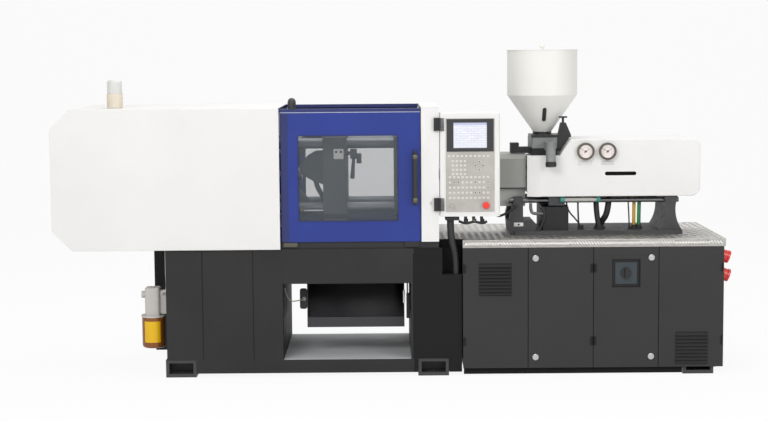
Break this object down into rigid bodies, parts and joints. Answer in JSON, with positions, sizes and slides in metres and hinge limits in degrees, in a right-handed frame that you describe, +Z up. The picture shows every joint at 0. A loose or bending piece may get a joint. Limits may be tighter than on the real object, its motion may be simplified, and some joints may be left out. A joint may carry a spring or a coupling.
{
  "type": "injection moulding machine",
  "caption": "Horizontal toggle injection moulding machine with a guarded clamp, sliding door, swinging control box, hopper-fed injection unit and cabinet base",
  "frame": {"origin": "on the floor, midway between the four outer anchor bolts", "axes": "+X from the clamp end to the injection end, +Z up, the operator stands at -Y"},
  "size_m": [3.8519, 0.897, 1.868],
  "materials": {
    "white_paint": "satin",
    "blue_paint": "satin",
    "dark_paint": "textured",
    "black_paint": "satin",
    "olive_paint": "satin",
    "tread_aluminium": "five-bar tread",
    "grey_casting": "painted casting",
    "bright_steel": "ground",
    "hopper_paint": "satin",
    "clear_pane": "clear",
    "lens": "clear",
    "amber": "clear amber",
    "black_plastic": "moulded",
    "beige_plastic": "moulded",
    "fascia": "membrane",
    "red_plastic": "moulded",
    "latch_zinc": "plated",
    "gauge": "enamel"
  },
  "bodies": {
    "frame": {"clamp_base": "dark_paint", "feet": "dark_paint", "drop_chute": "black_paint", "lube_pump": "olive_paint", "lube_reservoir": "amber", "rear_platen": "grey_casting", "fixed_platen": "grey_casting", "tie_bars": "bright_steel", "clamp_cylinder": "grey_casting", "clamp_guard_front": "white_paint", "clamp_guard_rear": "white_paint", "clamp_guard_cover": "white_paint", "beacon_base": "beige_plastic", "beacon_lens": "lens", "cable_arch": "black_plastic", "door_rails": "black_paint", "platen_covers": "white_paint", "cabinet_frame": "dark_paint", "tread_plate": "tread_aluminium", "electrical_panel": "bright_steel", "sockets": "red_plastic", "injection_base": "dark_paint", "guide_rods": "bright_steel", "control_conduit": "black_plastic"},
    "moving_platen": {"moving_platen": "grey_casting"},
    "ejector": {"ejector": "bright_steel"},
    "crosshead": {"crosshead": "grey_casting"},
    "upper_rear_link": {"upper_rear_link": "grey_casting"},
    "lower_rear_link": {"lower_rear_link": "grey_casting"},
    "upper_front_link": {"upper_front_link": "grey_casting"},
    "lower_front_link": {"lower_front_link": "grey_casting"},
    "front_door": {"front_door": "blue_paint", "front_door_window": "clear_pane", "front_door_handle": "black_plastic"},
    "rear_door": {"rear_door": "blue_paint", "rear_door_window": "clear_pane"},
    "control_box": {"control_box": "white_paint", "control_fascia": "fascia"},
    "emergency_stop": {"emergency_stop": "red_plastic"},
    "key_switch": {"key_switch": "bright_steel"},
    "carriage": {"injection_carriage": "grey_casting", "barrel": "bright_steel", "barrel_guard": "olive_paint", "injection_cover": "white_paint", "gauges": "gauge", "hopper_bed": "grey_casting"},
    "screw_motor": {"screw_motor": "grey_casting"},
    "screw": {"screw": "bright_steel"},
    "hopper": {"hopper": "hopper_paint", "hopper_lid": "hopper_paint"},
    "clamp_screw": {"clamp_screw": "bright_steel"},
    "main_switch": {"main_switch": "black_plastic"},
    "cabinet_door_1": {"cabinet_door_1": "dark_paint"},
    "door_latch_1": {"door_latch_1": "latch_zinc"},
    "cabinet_door_2": {"cabinet_door_2": "dark_paint"},
    "door_latch_2": {"door_latch_2": "latch_zinc"},
    "cabinet_door_3": {"cabinet_door_3": "dark_paint"},
    "door_latch_3": {"door_latch_3": "latch_zinc"},
    "cabinet_door_4": {"cabinet_door_4": "dark_paint"},
    "door_latch_4": {"door_latch_4": "latch_zinc"}
  },
  "joints": [
    {"name": "platen_slide", "type": "slide", "parent": "frame", "child": "moving_platen", "axis": [1, 0, 0], "range_m": [0, 0.16]},
    {"name": "ejector_slide", "type": "slide", "parent": "moving_platen", "child": "ejector", "axis": [1, 0, 0], "range_m": [0, 0.06]},
    {"name": "crosshead_slide", "type": "slide", "parent": "frame", "child": "crosshead", "axis": [1, 0, 0], "range_m": [0, 0.2]},
    {"name": "upper_rear_link_turn", "type": "hinge", "parent": "frame", "child": "upper_rear_link", "pos_m": [-1.04175, 0, 1.345], "axis": [0, -1, 0], "range_deg": [0, 45.5]},
    {"name": "lower_rear_link_turn", "type": "hinge", "parent": "frame", "child": "lower_rear_link", "pos_m": [-1.04175, 0, 0.915], "axis": [0, 1, 0], "range_deg": [0, 45.5]},
    {"name": "upper_front_link_turn", "type": "hinge", "parent": "upper_rear_link", "child": "upper_front_link", "pos_m": [-0.89237, 0, 1.17011], "axis": [0, 1, 0], "range_deg": [0, 91]},
    {"name": "lower_front_link_turn", "type": "hinge", "parent": "lower_rear_link", "child": "lower_front_link", "pos_m": [-0.89237, 0, 1.08989], "axis": [0, -1, 0], "range_deg": [0, 91]},
    {"name": "front_door_slide", "type": "slide", "parent": "frame", "child": "front_door", "axis": [-1, 0, 0], "range_m": [0, 0.64]},
    {"name": "rear_door_slide", "type": "slide", "parent": "frame", "child": "rear_door", "axis": [-1, 0, 0], "range_m": [0, 0.64]},
    {"name": "control_box_swing", "type": "hinge", "parent": "frame", "child": "control_box", "pos_m": [0.002, -0.447, 1.2], "axis": [0, 0, -1], "range_deg": [0, 90]},
    {"name": "emergency_stop_push", "type": "slide", "parent": "control_box", "child": "emergency_stop", "axis": [0, 1, 0], "range_m": [0, 0.006]},
    {"name": "key_switch_turn", "type": "hinge", "parent": "control_box", "child": "key_switch", "pos_m": [0.072, -0.44, 0.975], "axis": [0, -1, 0], "range_deg": [0, 90]},
    {"name": "carriage_slide", "type": "slide", "parent": "frame", "child": "carriage", "axis": [-1, 0, 0], "range_m": [0, 0.12]},
    {"name": "screw_stroke", "type": "slide", "parent": "carriage", "child": "screw_motor", "axis": [1, 0, 0], "range_m": [0, 0.15]},
    {"name": "screw_spin", "type": "hinge", "parent": "screw_motor", "child": "screw", "pos_m": [0.5, 0, 1.13], "axis": [1, 0, 0], "continuous": true},
    {"name": "hopper_slide", "type": "slide", "parent": "carriage", "child": "hopper", "axis": [0, -1, 0], "range_m": [0, 0.12]},
    {"name": "clamp_screw_turn", "type": "hinge", "parent": "hopper", "child": "clamp_screw", "pos_m": [0.73, -0.11, 1.4], "axis": [0, 0, 1], "range_deg": [-180, 180]},
    {"name": "main_switch_turn", "type": "hinge", "parent": "cabinet_door_3", "child": "main_switch", "pos_m": [1.0545, -0.43, 0.582], "axis": [0, -1, 0], "range_deg": [0, 90]},
    {"name": "cabinet_door_1_swing", "type": "hinge", "parent": "frame", "child": "cabinet_door_1", "pos_m": [0.1415, -0.433, 0.4], "axis": [0, 0, -1], "range_deg": [0, 110]},
    {"name": "cabinet_door_2_swing", "type": "hinge", "parent": "frame", "child": "cabinet_door_2", "pos_m": [0.8605, -0.433, 0.4], "axis": [0, 0, 1], "range_deg": [0, 85]},
    {"name": "cabinet_door_3_swing", "type": "hinge", "parent": "frame", "child": "cabinet_door_3", "pos_m": [0.8795, -0.433, 0.4], "axis": [0, 0, -1], "range_deg": [0, 85]},
    {"name": "cabinet_door_4_swing", "type": "hinge", "parent": "frame", "child": "cabinet_door_4", "pos_m": [1.5985, -0.433, 0.4], "axis": [0, 0, 1], "range_deg": [0, 110]},
    {"name": "door_latch_1_turn", "type": "hinge", "parent": "cabinet_door_2", "child": "door_latch_1", "pos_m": [0.543, -0.43, 0.67], "axis": [0, -1, 0], "range_deg": [0, 90]},
    {"name": "door_latch_2_turn", "type": "hinge", "parent": "cabinet_door_2", "child": "door_latch_2", "pos_m": [0.543, -0.43, 0.106], "axis": [0, -1, 0], "range_deg": [0, 90]},
    {"name": "door_latch_3_turn", "type": "hinge", "parent": "cabinet_door_3", "child": "door_latch_3", "pos_m": [1.197, -0.43, 0.67], "axis": [0, -1, 0], "range_deg": [0, 90]},
    {"name": "door_latch_4_turn", "type": "hinge", "parent": "cabinet_door_3", "child": "door_latch_4", "pos_m": [1.197, -0.43, 0.106], "axis": [0, -1, 0], "range_deg": [0, 90]}
  ],
  "couplings": [
    {"joint": "crosshead_slide", "follows": "platen_slide", "ratio": 1.25},
    {"joint": "upper_rear_link_turn", "follows": "platen_slide", "rad_per_m": 4.938},
    {"joint": "lower_rear_link_turn", "follows": "platen_slide", "rad_per_m": 4.938},
    {"joint": "upper_front_link_turn", "follows": "platen_slide", "rad_per_m": 9.8761},
    {"joint": "lower_front_link_turn", "follows": "platen_slide", "rad_per_m": 9.8761}
  ]
}
